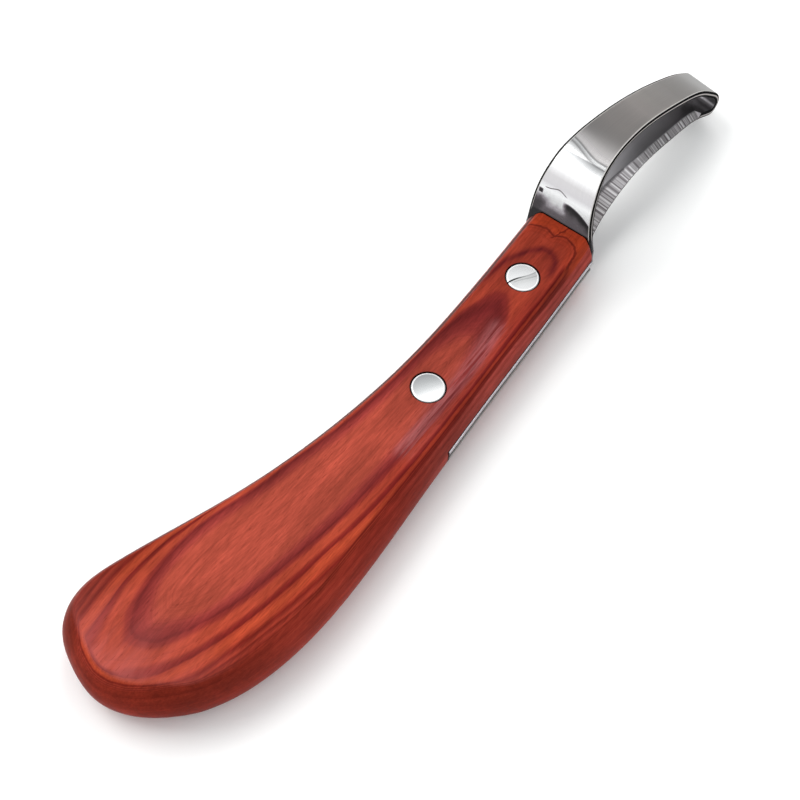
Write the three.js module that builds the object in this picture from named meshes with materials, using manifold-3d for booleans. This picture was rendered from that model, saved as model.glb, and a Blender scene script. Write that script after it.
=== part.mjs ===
// Loop-bladed hoof trimming knife, lying flat with its blade towards +X.
//
// One stainless strip is bent into a closed loop. Both of its ends are stacked in a slot
// sawn into a one-piece laminated wood handle, and two cutlery rivets hold them there.
// Each rivet is a barrel driven from above and a pin driven from below.
// Millimetres, +Z up. While modelling, X = 0 is the rear rivet and Z = 0 the resting face.

import * as THREE from 'three';
import Module from 'manifold-3d';
import { mergeVertices } from 'three/addons/utils/BufferGeometryUtils.js';

const wasm = await Module();
wasm.setup();

// ---- driving dimensions -------------------------------------------------------------

const CLEARANCE = 0.3; // gap kept between neighbouring pieces

const HANDLE_THICKNESS = 15.5;
const HANDLE_FRONT = 55; // X of the wood's square front end
const UNCUT_FRONT = HANDLE_FRONT + 8; // the blank is shaped to here before it is sawn off
const SIDE_BULGE = 2.8; // how far the sides stand out past the flat faces
const SIDE_STRAIGHT = 1.0; // upright part of the side at mid thickness

const STRIP_THICKNESS = 1.5;
const SLOT_REAR = -7.5; // X of the slot's blind end
const SLOT_HEIGHT = 2 * STRIP_THICKNESS + 3 * CLEARANCE;
const TANG_OFFSET = (STRIP_THICKNESS + CLEARANCE) / 2; // each tang's centre from mid thickness

const BEND_START = HANDLE_FRONT - 0.6; // where the upper tang begins to turn upwards
const BEND_RADIUS = 2;
const STRIP_BASE_HALF_WIDTH = 9.25;
const STRIP_LOOP_HALF_WIDTH = 4.45;
const TANG_FLARE = 0.06; // the tangs widen rearwards like the grip, before they are trimmed
const UPPER_TAPER = 28; // distance over which the rising branch narrows
const LOWER_TAPER = 7; // the cutting branch narrows almost at once
const LOOP_SIDE_SHIFT = 1.2; // the loop's middle at its root lies this far to the left
const LOOP_SIDE_LEAN = -0.036; // and it drifts back to the right on the way to the nose
const EDGE_BEVEL = 2.2; // width of the ground bevel on the cutting branch
const EDGE_LAND = 0.3; // thickness left at the ground edge

const RIVET_SPACING = 37;
const RIVET_HEAD_RADIUS = 3.75;
const RIVET_HEAD_HEIGHT = 1.6;
const BARREL_RADIUS = 2.3;
const BARREL_BORE_RADIUS = 1.4;
const PIN_RADIUS = BARREL_BORE_RADIUS - CLEARANCE;
const RIVET_SEGMENTS = 36;

const MIDDLE = HANDLE_THICKNESS / 2;
const WOOD_RED = 0x9c3a2c;
const STEEL_GREY = 0xb4b4b2;
const RIVET_GREY = 0xd2d4d3;

// ---- solids -------------------------------------------------------------------------

function toSolid(geometry) {
  const bare = geometry.clone();
  bare.deleteAttribute('normal');
  bare.deleteAttribute('uv');
  const merged = mergeVertices(bare);
  return new wasm.Manifold(new wasm.Mesh({
    numProp: 3,
    vertProperties: Float32Array.from(merged.attributes.position.array),
    triVerts: Uint32Array.from(merged.index.array),
  }));
}

function toGeometry(solid) {
  const mesh = solid.getMesh();
  const geometry = new THREE.BufferGeometry();
  geometry.setAttribute('position', new THREE.BufferAttribute(mesh.vertProperties, 3));
  geometry.setIndex(new THREE.BufferAttribute(mesh.triVerts, 1));
  geometry.computeVertexNormals();
  return geometry;
}

function boxBetween(low, high) {
  const size = high.map((value, axis) => value - low[axis]);
  const geometry = new THREE.BoxGeometry(...size);
  geometry.translate(...low.map((value, axis) => value + size[axis] / 2));
  return geometry;
}

// A round solid about an upright line through (x, 0); profile points are (radius, height).
function turned(profile, x) {
  const points = profile.map(([radius, height]) => new THREE.Vector2(radius, height));
  const geometry = new THREE.LatheGeometry(points, RIVET_SEGMENTS);
  geometry.rotateX(Math.PI / 2);
  geometry.translate(x, 0, 0);
  return geometry;
}

// ---- handle -------------------------------------------------------------------------

// The widest outline of the handle seen from above, anticlockwise from the front right.
// The grip is nearly straight beside the blade and swells into a palm that leans left.
// The outline runs on past the front end, which is sawn off square.
function handleOutline() {
  const outline = new THREE.Shape();
  outline.moveTo(UNCUT_FRONT, -8.1);
  outline.lineTo(UNCUT_FRONT, 10.3);
  outline.splineThru([
    [30, 9.3], [4, 9.8], [-20, 12.9], [-42, 18.2], [-60, 24.4], [-72, 28.5],
    [-81, 30.2], [-88.5, 28], [-93.5, 21.4], [-96, 13], [-94.3, 5.6], [-88.5, -2.1],
    [-79, -8.4], [-66, -12.3], [-46, -13.7], [-20, -12.3], [4, -10.9], [30, -9.8],
    [UNCUT_FRONT, -8.1],
  ].map(([x, y]) => new THREE.Vector2(x, y)));
  return outline;
}

// Both faces are flat and the sides are barrelled between them.
function handleBlank() {
  const bevel = (HANDLE_THICKNESS - SIDE_STRAIGHT) / 2;
  const geometry = new THREE.ExtrudeGeometry(handleOutline(), {
    depth: SIDE_STRAIGHT,
    bevelEnabled: true,
    bevelThickness: bevel,
    bevelSize: SIDE_BULGE,
    bevelOffset: -SIDE_BULGE,
    bevelSegments: 6,
    curveSegments: 4,
  });
  geometry.translate(0, 0, bevel);
  return toSolid(geometry);
}

function rivetHole(x) {
  const head = RIVET_HEAD_RADIUS + CLEARANCE;
  const shank = BARREL_RADIUS + CLEARANCE;
  const seat = RIVET_HEAD_HEIGHT + CLEARANCE;
  const top = HANDLE_THICKNESS;
  return toSolid(turned([
    [0, -1], [head, -1], [head, seat], [shank, seat],
    [shank, top - seat], [head, top - seat], [head, top + 1], [0, top + 1],
  ], x));
}

function handle() {
  const slot = toSolid(boxBetween(
    [SLOT_REAR - CLEARANCE, -40, MIDDLE - SLOT_HEIGHT / 2],
    [UNCUT_FRONT, 40, MIDDLE + SLOT_HEIGHT / 2],
  ));
  const offcut = toSolid(boxBetween([HANDLE_FRONT, -40, -1], [70, 40, HANDLE_THICKNESS + 1]));
  return handleBlank()
    .subtract(offcut)
    .subtract(slot)
    .subtract(rivetHole(0))
    .subtract(rivetHole(RIVET_SPACING));
}

// ---- loop blade ---------------------------------------------------------------------

// Centre line of the strip in side view (X, Z): out along the upper tang, straight up,
// forward over the arch, round the nose, and back along the cutting branch.
function stripPath() {
  const upper = MIDDLE + TANG_OFFSET;
  const lower = MIDDLE - TANG_OFFSET;
  const path = new THREE.Path();
  path.moveTo(SLOT_REAR, upper);
  path.lineTo(BEND_START, upper);
  path.absarc(BEND_START, upper + BEND_RADIUS, BEND_RADIUS, -Math.PI / 2, 0, false);
  path.splineThru([
    [56.4, 16], [56.4, 23], [57.4, 28.6], [59.6, 33], [63.8, 34.7], [70, 34.3],
    [79, 31.8], [89, 27.7], [99, 22.7], [107.5, 17.5], [113.5, 12.2], [117.2, 7.6],
    [118.5, 5.2], [117.5, 4.1], [114.5, 6], [107.5, 8.5], [98, 10.2], [88, 11.5],
    [78, 10.7], [69, 8.2], [61, 6.9], [HANDLE_FRONT + 1.5, lower],
  ].map(([x, z]) => new THREE.Vector2(x, z)));
  path.lineTo(SLOT_REAR, lower);
  return path;
}

// Distance travelled along a polyline at each of its points.
function runningLength(points) {
  const lengths = [0];
  for (let i = 1; i < points.length; i += 1) {
    lengths.push(lengths[i - 1] + points[i].distanceTo(points[i - 1]));
  }
  return lengths;
}

// Half of the strip's width: full in the slot, then narrowing towards the nose.
function halfWidth(fromUpperRoot, fromLowerRoot) {
  const flare = STRIP_BASE_HALF_WIDTH - STRIP_LOOP_HALF_WIDTH;
  const upper = Math.exp(-((Math.max(fromUpperRoot, 0) / UPPER_TAPER) ** 1.4));
  const lower = Math.exp(-((Math.max(fromLowerRoot, 0) / LOWER_TAPER) ** 1.2));
  return STRIP_LOOP_HALF_WIDTH + flare * Math.max(upper, lower);
}

// A straight bar, bent and tapered along the centre line. Its local X runs along the
// strip, Y across it (right to left) and Z from the loop's inside to its outside.
function bentStrip() {
  const points = stripPath().getPoints(5);
  const lengths = runningLength(points);
  const upperRoot = lengths[points.findIndex((point) => point.x > HANDLE_FRONT)];
  const lowerIndex = points.findLastIndex((point) => point.x > HANDLE_FRONT);
  const lowerRoot = lengths[lowerIndex];
  const noseIndex = points.reduce((best, point, i) => (point.x > points[best].x ? i : best), 0);
  const steps = points.length - 1;
  const bar = new THREE.BoxGeometry(1, 1, 1, steps, 4, 1);
  const position = bar.attributes.position;
  for (let i = 0; i < position.count; i += 1) {
    const index = Math.round((position.getX(i) + 0.5) * steps);
    const before = points[Math.max(index - 1, 0)];
    const after = points[Math.min(index + 1, steps)];
    const outward = new THREE.Vector2(before.y - after.y, after.x - before.x).normalize();
    const reach = points[index].x - HANDLE_FRONT;
    const half = halfWidth(lengths[index] - upperRoot, lowerRoot - lengths[index])
      + TANG_FLARE * Math.max(-reach, 0);
    const middle = LOOP_SIDE_SHIFT + LOOP_SIDE_LEAN * Math.max(reach, 0);
    const column = Math.round((position.getY(i) + 0.5) * 4);
    const across = [-half, EDGE_BEVEL - half, 0, half / 2, half][column];
    const ground = column === 0 && index > noseIndex && index <= lowerIndex;
    const inside = ground ? STRIP_THICKNESS / 2 - EDGE_LAND : -STRIP_THICKNESS / 2;
    const offset = position.getZ(i) > 0 ? STRIP_THICKNESS / 2 : inside;
    position.setXYZ(
      i,
      points[index].x + outward.x * offset,
      middle + across,
      points[index].y + outward.y * offset,
    );
  }
  return bar;
}

// The tangs are ground flush with the handle's sides, so the outline trims them.
function tangTrim() {
  const flank = new THREE.ExtrudeGeometry(handleOutline(), {
    depth: HANDLE_THICKNESS,
    bevelEnabled: false,
    curveSegments: 4,
  });
  const ahead = boxBetween([HANDLE_FRONT - 0.5, -20, -5], [150, 20, 60]);
  return toSolid(flank).add(toSolid(ahead));
}

function loopBlade() {
  const hole = (x) => toSolid(turned([
    [0, 1], [BARREL_RADIUS + CLEARANCE, 1],
    [BARREL_RADIUS + CLEARANCE, HANDLE_THICKNESS - 1], [0, HANDLE_THICKNESS - 1],
  ], x));
  return toSolid(bentStrip())
    .intersect(tangTrim())
    .subtract(hole(0))
    .subtract(hole(RIVET_SPACING));
}

// ---- rivets -------------------------------------------------------------------------

// The barrel's head is flush with the upper face and its tube is open downwards.
function rivetBarrel(x) {
  const top = HANDLE_THICKNESS;
  const neck = top - RIVET_HEAD_HEIGHT;
  const mouth = RIVET_HEAD_HEIGHT + CLEARANCE;
  return turned([
    [0, neck], [BARREL_BORE_RADIUS, neck], [BARREL_BORE_RADIUS, mouth],
    [BARREL_RADIUS, mouth], [BARREL_RADIUS, neck], [RIVET_HEAD_RADIUS, neck],
    [RIVET_HEAD_RADIUS, top], [0, top],
  ], x);
}

// The pin's head is flush with the resting face and its shank stands up in the barrel.
function rivetPin(x) {
  const shankTop = HANDLE_THICKNESS - RIVET_HEAD_HEIGHT - 2;
  return turned([
    [0, 0], [RIVET_HEAD_RADIUS, 0], [RIVET_HEAD_RADIUS, RIVET_HEAD_HEIGHT],
    [PIN_RADIUS, RIVET_HEAD_HEIGHT], [PIN_RADIUS, shankTop], [0, shankTop],
  ], x);
}

// ---- assembly -----------------------------------------------------------------------

function piece(name, geometry, color, roughness, metalness) {
  const material = new THREE.MeshStandardMaterial({ color, roughness, metalness });
  const mesh = new THREE.Mesh(geometry, material);
  mesh.name = name;
  return mesh;
}

const knife = new THREE.Group();
knife.add(piece('handle', toGeometry(handle()), WOOD_RED, 0.35, 0));
knife.add(piece('loop_blade', toGeometry(loopBlade()), STEEL_GREY, 0.3, 1));
for (const [place, x] of [['rear', 0], ['front', RIVET_SPACING]]) {
  knife.add(piece(`${place}_rivet_barrel`, rivetBarrel(x), RIVET_GREY, 0.2, 1));
  knife.add(piece(`${place}_rivet_pin`, rivetPin(x), RIVET_GREY, 0.2, 1));
}

// The origin is the middle of the bounding box, on the surface the knife lies on.
const bounds = new THREE.Box3().setFromObject(knife);
const centre = bounds.getCenter(new THREE.Vector3());
knife.position.set(-centre.x, -centre.y, -bounds.min.z);

export default knife;
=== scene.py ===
"""Loop hoof knife: laminated wood handle, looped stainless blade and two cutlery rivets.

Shapes are worked out in millimetres, with X = 0 and Y = 0 on the rear rivet and Z = 0 on
the resting face, and moved to the shared frame when each mesh is made.
"""

import math

import bmesh
import bpy
import numpy as np
from mathutils import Matrix, Vector


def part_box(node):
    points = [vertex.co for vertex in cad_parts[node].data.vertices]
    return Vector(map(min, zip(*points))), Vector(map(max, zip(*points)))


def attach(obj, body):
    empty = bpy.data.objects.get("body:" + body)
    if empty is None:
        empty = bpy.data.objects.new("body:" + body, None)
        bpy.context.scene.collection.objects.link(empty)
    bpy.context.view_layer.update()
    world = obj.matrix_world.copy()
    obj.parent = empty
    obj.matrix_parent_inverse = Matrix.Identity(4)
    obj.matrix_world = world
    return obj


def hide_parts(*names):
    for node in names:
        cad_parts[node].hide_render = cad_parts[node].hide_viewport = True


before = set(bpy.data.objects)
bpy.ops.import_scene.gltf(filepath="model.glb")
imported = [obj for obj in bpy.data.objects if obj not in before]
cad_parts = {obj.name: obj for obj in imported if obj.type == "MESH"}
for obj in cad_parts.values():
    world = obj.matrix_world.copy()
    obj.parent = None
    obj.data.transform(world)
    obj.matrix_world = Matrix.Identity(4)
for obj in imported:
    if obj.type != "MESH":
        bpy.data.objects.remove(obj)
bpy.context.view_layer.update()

rear_low, rear_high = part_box("rear_rivet_barrel")
front_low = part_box("front_rivet_barrel")[0]
handle_low, handle_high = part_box("handle")
ORIGIN = np.array([(rear_low.x + rear_high.x) / 2, (rear_low.y + rear_high.y) / 2, handle_low.z])
THICKNESS = (handle_high.z - handle_low.z) * 1000
MIDDLE = THICKNESS / 2
FRONT = (handle_high.x - ORIGIN[0]) * 1000
RIVET_SPACING = (front_low.x - rear_low.x) * 1000
HEAD_RADIUS = (rear_high.x - rear_low.x) * 500
HEAD_DEPTH = 1.6
SEAT_DEPTH = 1.9
SEAT_RADIUS = HEAD_RADIUS + 0.2
SHANK_HOLE_RADIUS = 2.6
STRIP_THICKNESS = 1.5
SLOT_GAP = 0.3
SLOT_HEIGHT = 2 * STRIP_THICKNESS + 3 * SLOT_GAP
TANG_REAR = -7.5
SLOT_REAR = TANG_REAR - SLOT_GAP


# ---- curves and meshes --------------------------------------------------------------


def spline(points, start=None, end=None):
    """A curvature-continuous curve through points; returns a function of distance, and its length."""
    points = np.array(points, float)
    knots = np.concatenate([[0], np.cumsum(np.linalg.norm(np.diff(points, axis=0), axis=1))])
    count = len(points)
    gaps = np.diff(knots)
    matrix = np.zeros((count, count))
    right = np.zeros((count, points.shape[1]))
    for i in range(1, count - 1):
        matrix[i, i - 1] = gaps[i]
        matrix[i, i] = 2 * (gaps[i - 1] + gaps[i])
        matrix[i, i + 1] = gaps[i - 1]
        before = (points[i] - points[i - 1]) / gaps[i - 1]
        after = (points[i + 1] - points[i]) / gaps[i]
        right[i] = 3 * (gaps[i] * before + gaps[i - 1] * after)
    for row, other, slope, gap in ((0, 1, start, gaps[0]), (count - 1, count - 2, end, gaps[-1])):
        matrix[row, row] = 1 if slope is not None else 2
        if slope is not None:
            right[row] = slope
        else:
            matrix[row, other] = 1
            right[row] = 3 * (points[max(row, other)] - points[min(row, other)]) / gap
    slopes = np.linalg.solve(matrix, right)

    def at(run):
        run = np.clip(np.asarray(run, float), 0, knots[-1])
        i = np.clip(np.searchsorted(knots, run, side="right") - 1, 0, count - 2)
        gap = gaps[i]
        u = ((run - knots[i]) / gap)[..., None]
        gap = gap[..., None]
        return (
            (1 + 2 * u) * (1 - u) ** 2 * points[i]
            + u * (1 - u) ** 2 * gap * slopes[i]
            + u**2 * (3 - 2 * u) * points[i + 1]
            + u**2 * (u - 1) * gap * slopes[i + 1]
        )

    return at, knots[-1]


SPLINE_SAMPLES = 4000


def even(points, step, start=None, end=None):
    """Evenly spaced points along a spline."""
    at, length = spline(points, start, end)
    fine = at(np.linspace(0, length, SPLINE_SAMPLES))
    run = np.concatenate([[0], np.cumsum(np.linalg.norm(np.diff(fine, axis=0), axis=1))])
    wanted = np.linspace(0, run[-1], max(2, int(round(run[-1] / step))) + 1)
    return np.stack([np.interp(wanted, run, fine[:, k]) for k in range(fine.shape[1])], axis=1)


def make(name, vertices, faces, angle=35, merge=True):
    """A smooth-shaded object from millimetre vertices, creased where faces meet sharply."""
    mesh = bpy.data.meshes.new(name)
    scaled = np.asarray(vertices, float) / 1000 + ORIGIN
    mesh.from_pydata(scaled.tolist(), [], [list(map(int, f)) for f in faces])
    clean = bmesh.new()
    clean.from_mesh(mesh)
    if merge:
        bmesh.ops.remove_doubles(clean, verts=clean.verts, dist=2e-6)
    bmesh.ops.recalc_face_normals(clean, faces=clean.faces)
    clean.to_mesh(mesh)
    clean.free()
    obj = bpy.data.objects.new(name, mesh)
    bpy.context.scene.collection.objects.link(obj)
    crease(obj, angle)
    return obj


def crease(obj, angle):
    """Smooth shading, except across edges sharper than the angle in degrees."""
    obj.data.shade_smooth()
    obj.data.set_sharp_from_angle(angle=math.radians(angle))


def box(name, low, high):
    corners = [(x, y, z) for z in (low[2], high[2]) for y in (low[1], high[1]) for x in (low[0], high[0])]
    faces = [(0, 1, 3, 2), (4, 6, 7, 5), (0, 4, 5, 1), (2, 3, 7, 6), (0, 2, 6, 4), (1, 5, 7, 3)]
    return make(name, corners, faces)


def lathe(name, profile, x, segments=96, angle=35):
    """A round piece about an upright line through (x, 0); closed where the radius is zero."""
    profile = np.array(profile, float)
    turn = np.arange(segments) * 2 * math.pi / segments
    vertices, faces = [], []
    for radius, z in profile:
        for a in turn:
            vertices.append((x + radius * math.cos(a), radius * math.sin(a), z))
    for j in range(len(profile) - 1):
        for i in range(segments):
            n = (i + 1) % segments
            faces.append((j * segments + i, j * segments + n,
                          (j + 1) * segments + n, (j + 1) * segments + i))
    return make(name, vertices, faces, angle)


def cut(target, tools, angle=35):
    """Subtracts the tools from the target and removes them."""
    for tool in tools:
        change = target.modifiers.new("cut", "BOOLEAN")
        change.operation = "DIFFERENCE"
        change.solver = "EXACT"
        change.object = tool
    graph = bpy.context.evaluated_depsgraph_get()
    mesh = bpy.data.meshes.new_from_object(target.evaluated_get(graph))
    target.modifiers.clear()
    old = target.data
    target.data = mesh
    bpy.data.meshes.remove(old)
    mesh.name = target.name
    for tool in tools:
        bpy.data.objects.remove(tool)
    crease(target, angle)


def positions(obj):
    """Vertex positions in millimetres."""
    co = np.zeros(len(obj.data.vertices) * 3)
    obj.data.vertices.foreach_get("co", co)
    return (co.reshape(-1, 3) - ORIGIN) * 1000


def give(obj, name, values):
    """Stores one number per vertex for the materials to read."""
    layer = obj.data.attributes.new(name, "FLOAT", "POINT")
    layer.data.foreach_set("value", np.asarray(values, np.float32))


def fade(value, low, high):
    """0 below low, 1 above high, and a smooth step between them."""
    u = np.clip((np.asarray(value, float) - low) / (high - low), 0, 1)
    return u * u * (3 - 2 * u)


# ---- handle -------------------------------------------------------------------------

# The widest outline seen from above, from the front left round the palm to the front right.
OUTLINE = [
    (63, 10.3), (30, 9.3), (4, 9.8), (-20, 12.9), (-42, 18.2), (-60, 24.4), (-72, 28.5),
    (-81, 30.2), (-88.5, 28), (-93.5, 21.4), (-96, 13), (-94.3, 5.6), (-88.5, -2.1),
    (-79, -8.4), (-66, -12.3), (-46, -13.7), (-20, -12.3), (4, -10.9), (30, -9.8), (63, -8.1),
]
widest = even(OUTLINE, 0.5)
tangent = np.gradient(widest, axis=0)
tangent /= np.linalg.norm(tangent, axis=1)[:, None]
inward = np.stack([-tangent[:, 1], tangent[:, 0]], axis=1)


def outline_edge(x, side):
    """Y of the outline at X on its left (side = 1) or right (side = -1)."""
    tip = widest[:, 0].argmin()
    half = widest[: tip + 1] if side > 0 else widest[tip:]
    order = half[:, 0].argsort()
    return np.interp(x, half[order, 0], half[order, 1])


right_side = fade(-widest[:, 1], -4, 4)
waist = np.exp(-(((widest[:, 0] + 32) / 24) ** 2))
palm = fade(-widest[:, 0], 60, 85)
bulge = 3.3 + 1.2 * waist * right_side - 0.2 * palm + 1.5 * fade(-widest[:, 0], 84, 93)
arris = 0.9 + 0.5 * fade(-widest[:, 0], 78, 93)


# The share of a profile, from mid height to the flat face, that the barrelled side takes.
SIDE_SHARE = 0.6


def level(angle):
    """Inset and height of the barrelled side at a profile angle in 0..1, above mid height."""
    rise = MIDDLE - arris
    radius = (bulge**2 - arris**2 + rise**2) / (2 * (bulge - arris))
    reach = radius - bulge
    alpha = np.arctan2(rise, reach)
    if angle <= SIDE_SHARE:
        a = alpha * angle / SIDE_SHARE
        return radius * (1 - np.cos(a)), radius * np.sin(a)
    a = alpha + (math.pi / 2 - alpha) * (angle - SIDE_SHARE) / (1 - SIDE_SHARE)
    return radius - reach - arris * np.cos(a), rise + arris * np.sin(a)


SIDE_ROWS = 260
PALM_CROWDING = 1.15
CORNER_ROWS = 6
COLUMNS = 56
# Radii of the front end's two corners, and how far its upper and lower edges are eased.
LEFT_CORNER = 0.9
RIGHT_CORNER = 0.7
FRONT_EDGE = 0.3
FRONT_EDGE_STEP = 0.75


def rows_at(inset, height, front_inset):
    """One level of the handle: rows of points down its left and right, from palm to front."""
    curve = np.column_stack([widest + inward * inset[:, None], height])
    tip = curve[:, 0].argmin()
    rows = []
    for side, corner in ((1, LEFT_CORNER), (-1, RIGHT_CORNER)):
        half = curve[: tip + 1][::-1] if side > 0 else curve[tip:]
        stop = FRONT - front_inset - corner
        run = np.concatenate([[0], np.cumsum(np.linalg.norm(np.diff(half, axis=0), axis=1))])
        beyond = np.flatnonzero(half[:, 0] > stop)[0]
        share = (stop - half[beyond - 1, 0]) / (half[beyond, 0] - half[beyond - 1, 0])
        end = run[beyond - 1] + share * (run[beyond] - run[beyond - 1])
        wanted = np.linspace(0, 1, SIDE_ROWS) ** PALM_CROWDING * end
        line = np.stack([np.interp(wanted, run, half[:, k]) for k in range(3)], axis=1)
        turn = np.linspace(0, math.pi / 2, CORNER_ROWS + 1)[1:]
        y, z = line[-1, 1:]
        rounded = y - side * corner * (1 - np.cos(turn))
        arc = np.stack([stop + corner * np.sin(turn), rounded, np.full(CORNER_ROWS, z)], axis=1)
        rows.append(np.concatenate([line, arc]))
    rows[1][0] = rows[0][0]
    return rows


def build_handle():
    """Levels stacked from the lower face to the upper one, with a grid of quads on each face."""
    steps = np.concatenate([np.linspace(0, SIDE_SHARE, 10), np.linspace(SIDE_SHARE, 1, 8)[1:]])
    levels = []
    for sign in (-1, 1):
        for step in steps if sign > 0 else steps[:0:-1]:
            inset, rise = level(step)
            front_step = max(0.0, (step - FRONT_EDGE_STEP) / (1 - FRONT_EDGE_STEP))
            front_inset = FRONT_EDGE * (1 - math.sqrt(1 - front_step**2))
            levels.append(rows_at(inset, MIDDLE + sign * rise, front_inset))
    vertices, faces, loops = [], [], []
    blend = np.linspace(0, 1, COLUMNS + 1)[:, None]
    for left, right in levels:
        front = left[-1] * (1 - blend) + right[-1] * blend
        loop = np.concatenate([left, front[1:-1], right[:0:-1]])
        loops.append(np.arange(len(vertices), len(vertices) + len(loop)))
        vertices += list(loop)
    size = len(loops[0])
    for low, high in zip(loops, loops[1:]):
        for i in range(size):
            n = (i + 1) % size
            faces.append((low[i], low[n], high[n], high[i]))
    width = COLUMNS + 1
    for left, right in (levels[0], levels[-1]):
        start = len(vertices)
        for a, b in zip(left, right):
            vertices += list(a * (1 - blend) + b * blend)
        for r in range(len(left) - 1):
            for c in range(COLUMNS):
                a = start + r * width + c
                quad = (a, a + 1, a + width + 1, a + width)
                faces.append(quad if r else quad[1:])
    return make("handle_wood", vertices, faces)


handle = build_handle()
tools = [
    box("slot", (SLOT_REAR, -40, MIDDLE - SLOT_HEIGHT / 2), (FRONT + 20, 40, MIDDLE + SLOT_HEIGHT / 2))
]
for x in (0, RIVET_SPACING):
    half = [(0, -1), (SEAT_RADIUS, -1), (SEAT_RADIUS, SEAT_DEPTH), (SHANK_HOLE_RADIUS, SEAT_DEPTH)]
    mirrored = [(radius, THICKNESS - z) for radius, z in reversed(half)]
    tools.append(lathe("recess", half + mirrored, x))
cut(handle, tools, 40)

# Grain contours on the upper face, repeated on the lower one. The plies are slightly dished,
# so a flat face cuts them in nested lines: the rim of the middle ply, then two darker joints.
RIM = [
    (-84.3, 12.5), (-82.3, 15.3), (-77, 17.4), (-70, 18.3), (-60, 18.4), (-50, 16.6), (-42, 14.2),
    (-30, 11.6), (-20, 9.2), (-10, 7.9), (0, 7), (10, 6.3), (17, 5.6), (22, 4.7), (26, 3.2),
    (29.8, 0.9), (28, -1.2), (25, -3.1), (20, -4.4), (12, -5.1), (0, -5.5), (-12, -5.4), (-25, -5),
    (-35, -4.3), (-45, -3), (-55, -1.2), (-65, 1), (-72, 3.2), (-79, 6), (-83, 9), (-84.3, 12.5),
]
# A second, smaller peak goes round the blade's side of the front rivet and fades out at its feet.
ARCH = [
    (22, 7.2), (28, 6.8), (34, 6.3), (38, 5.7), (41, 4.5), (44.2, 2.6), (46.6, -0.2), (46.3, -2),
    (45, -3.6), (43, -4.3), (39, -4.4), (35, -4.2),
]
FIRST_JOINT = [
    (-98, 12), (-97, 18), (-91.5, 20.2), (-86, 20.8), (-80, 21.3), (-75, 21.9), (-70, 21.8), (-63, 21),
    (-55, 19.3), (-48, 17.6), (-40, 15.5), (-30, 13), (-20, 10.9), (-8, 9.3), (10, 8.2), (30, 7.9),
    (46, 8.4), (50.3, 7), (51.4, 4.6), (51.9, 2.8), (51.1, 1), (51.9, -0.8), (52.2, -2.4), (51.6, -4),
    (50.4, -5.5), (47, -6.5), (40, -7.1), (30, -7.3), (18, -7.5), (0, -8), (-12, -8.3), (-22, -8.3),
    (-30, -8.2), (-40, -7.3), (-50, -5.8), (-60, -4.4), (-70, -2.3), (-75, -0.9), (-80, 0.8), (-85, 2.9),
    (-90, 5.6), (-98, 12),
]
SECOND_JOINT = [
    (-100, 6), (-101, 15), (-97, 22.5), (-90, 24), (-80, 24.8), (-70, 24.3), (-60, 22.3), (-50, 19.6),
    (-40, 16.9), (-20, 12.6), (0, 10.5), (30, 9.8), (60, 9.8), (60, -9), (30, -9.6), (0, -10.4),
    (-20, -11), (-35, -10.7), (-45, -10.1), (-55, -8.9), (-65, -6.9), (-75, -4.6), (-80, -3.2),
    (-86, -0.6), (-91, 2.2), (-100, 6),
]


def distance(points, curve):
    """Distance from each point to a polyline."""
    best = np.full(len(points), 1e9)
    for a, b in zip(curve, curve[1:]):
        along = b - a
        u = np.clip(((points - a) @ along) / (along @ along), 0, 1)
        best = np.minimum(best, np.linalg.norm(points - a - u[:, None] * along, axis=1))
    return best


def inside(points, curve):
    """Whether each point lies inside a closed curve."""
    x, y = points[:, 0], points[:, 1]
    odd = np.zeros(len(points), bool)
    for (ax, ay), (bx, by) in zip(curve, curve[1:]):
        if ay == by:
            continue
        crosses = (ay > y) != (by > y)
        odd ^= crosses & (x < (bx - ax) * (y - ay) / (by - ay) + ax)
    return odd


def ply_at(points):
    """Which ply shows on the face at each (X, Y): 1 and 2 at the joints, negative inside the rim."""
    rim, first, second = (even(c, 1.0) for c in (RIM, FIRST_JOINT, SECOND_JOINT))
    to_rim, to_first, to_second = (distance(points, c) for c in (rim, first, second))
    between = to_rim / (to_rim + to_first + 1e-6)
    narrow = fade(points[:, 0], 8, 22)
    between -= narrow * np.maximum(between - np.maximum(1 - 0.3 * to_first, 0.4), 0)
    value = np.where(inside(points, first), between, 1 + to_first / (to_first + to_second + 1e-6))
    value = np.where(inside(points, second), value, 2 + to_second / 4)
    # The stain soaks in furthest at the two ends of the middle ply.
    ends = fade(points[:, 0], 4, 24) + 2.3 * fade(points[:, 0], 14, 26) + fade(-points[:, 0], 70, 82)
    return np.where(inside(points, rim), -to_rim / (3.2 + 4.5 * ends), value)


def arch_at(points):
    """Darkness of the second peak: full on its line, softer inside it, none at its feet."""
    line = even(ARCH, 0.5)
    off = distance(points, line)
    within = inside(points, np.concatenate([line, line[:1]]))
    dark = np.maximum(np.exp(-((off / 0.95) ** 2)), within * 0.66 * np.exp(-off / 2.4))
    left_foot = fade(points[:, 0], 24, 36)
    right_foot = 1 - fade(-points[:, 1], 1, 3.5) * (1 - fade(points[:, 0], 38, 43))
    return dark * left_foot * right_foot


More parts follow.
